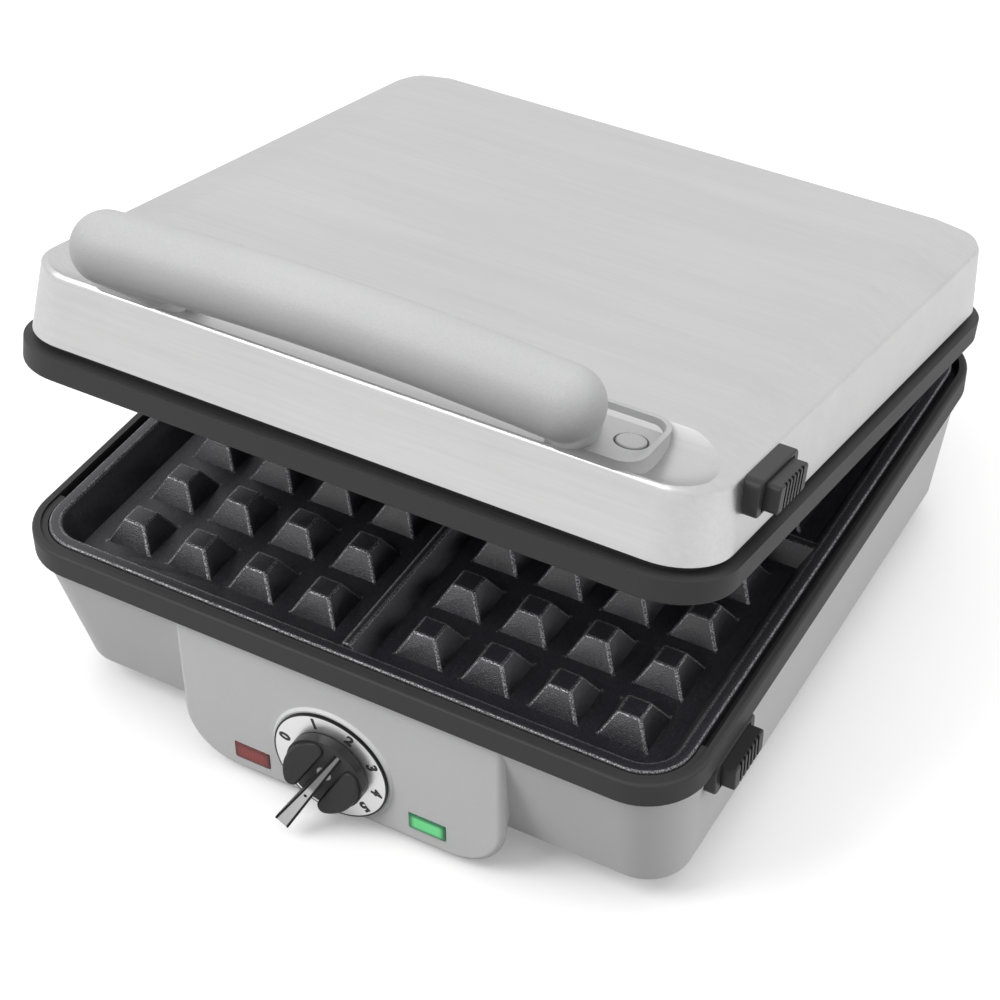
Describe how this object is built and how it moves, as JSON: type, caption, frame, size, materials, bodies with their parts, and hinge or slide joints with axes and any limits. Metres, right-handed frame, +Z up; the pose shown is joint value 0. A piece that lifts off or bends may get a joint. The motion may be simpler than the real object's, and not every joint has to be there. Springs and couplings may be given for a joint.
{
  "type": "belgian waffle maker",
  "caption": "Square countertop waffle maker with a hinged steel lid held ajar over deep non-stick grid plates, a bar handle, a temperature dial and plate release buttons.",
  "frame": {"origin": "On the table under the middle of the whole's bounding box, at the height of the feet's soles", "axes": "+Z up, +Y towards the hinge at the back, -Y towards the handle and dial, +X to the right with the release buttons"},
  "size_m": [0.2808, 0.3356, 0.2321],
  "materials": {
    "housing_paint": "satin silver-grey paint",
    "lid_steel": "finely brushed",
    "rim_plastic": "matte charcoal",
    "plate_coating": "dark non-stick coating on cast aluminium",
    "handle_silver": "satin silver",
    "black_plastic": "semi-gloss black",
    "bright_metal": "polished",
    "red_lens": "translucent red",
    "green_lens": "translucent green, lit",
    "rubber": "matte",
    "zinc_steel": "zinc plated",
    "tray_metal": "plain sheet",
    "element_sheath": "oxidised",
    "pale_ceramic": "matte",
    "lamp_glass": "clear"
  },
  "bodies": {
    "base": {"lower_housing": "housing_paint", "base_rim": "rim_plastic", "bottom_cover": "rim_plastic", "cover_screws": "zinc_steel", "rubber_feet": "rubber", "lower_grid_plate": "plate_coating", "lower_heating_element": "element_sheath", "lower_heat_reflector": "tray_metal", "dial_ring": "bright_metal", "heating_light_lens": "red_lens", "ready_light_lens": "green_lens", "indicator_lamps": "lamp_glass", "thermostat": "pale_ceramic", "terminal_block": "pale_ceramic", "lower_release_frame": "black_plastic", "hinge_brackets": "rim_plastic", "hinge_pins": "zinc_steel", "cord_inlet": "black_plastic"},
    "lid": {"lid_shell": "lid_steel", "lid_rim": "rim_plastic", "handle": "handle_silver", "handle_caps": "handle_silver", "handle_screws": "zinc_steel", "upper_grid_plate": "plate_coating", "upper_heating_element": "element_sheath", "upper_heat_reflector": "tray_metal", "upper_release_frame": "black_plastic", "lid_hinge_arms": "rim_plastic"},
    "knob": {"temperature_knob": "black_plastic", "knob_pointer": "bright_metal", "thermostat_shaft": "zinc_steel"},
    "upper_button": {"upper_release_button": "black_plastic", "upper_latch": "zinc_steel"},
    "lower_button": {"lower_release_button": "black_plastic", "lower_latch": "zinc_steel"}
  },
  "joints": [
    {"name": "lid_hinge", "type": "hinge", "parent": "base", "child": "lid", "pos_m": [-0.0029, 0.1583, 0.07415], "axis": [-1, 0, 0], "range_deg": [-13.3, 82]},
    {"name": "knob_turn", "type": "hinge", "parent": "base", "child": "knob", "pos_m": [-0.0029, -0.1484, 0.028], "axis": [0, 1, 0], "range_deg": [-102, 106]},
    {"name": "upper_release_press", "type": "slide", "parent": "lid", "child": "upper_button", "axis": [-1, 0, 0], "range_m": [0, 0.0035], "stiffness_N_per_m": 900},
    {"name": "lower_release_press", "type": "slide", "parent": "base", "child": "lower_button", "axis": [-1, 0, 0], "range_m": [0, 0.0035], "stiffness_N_per_m": 900}
  ]
}
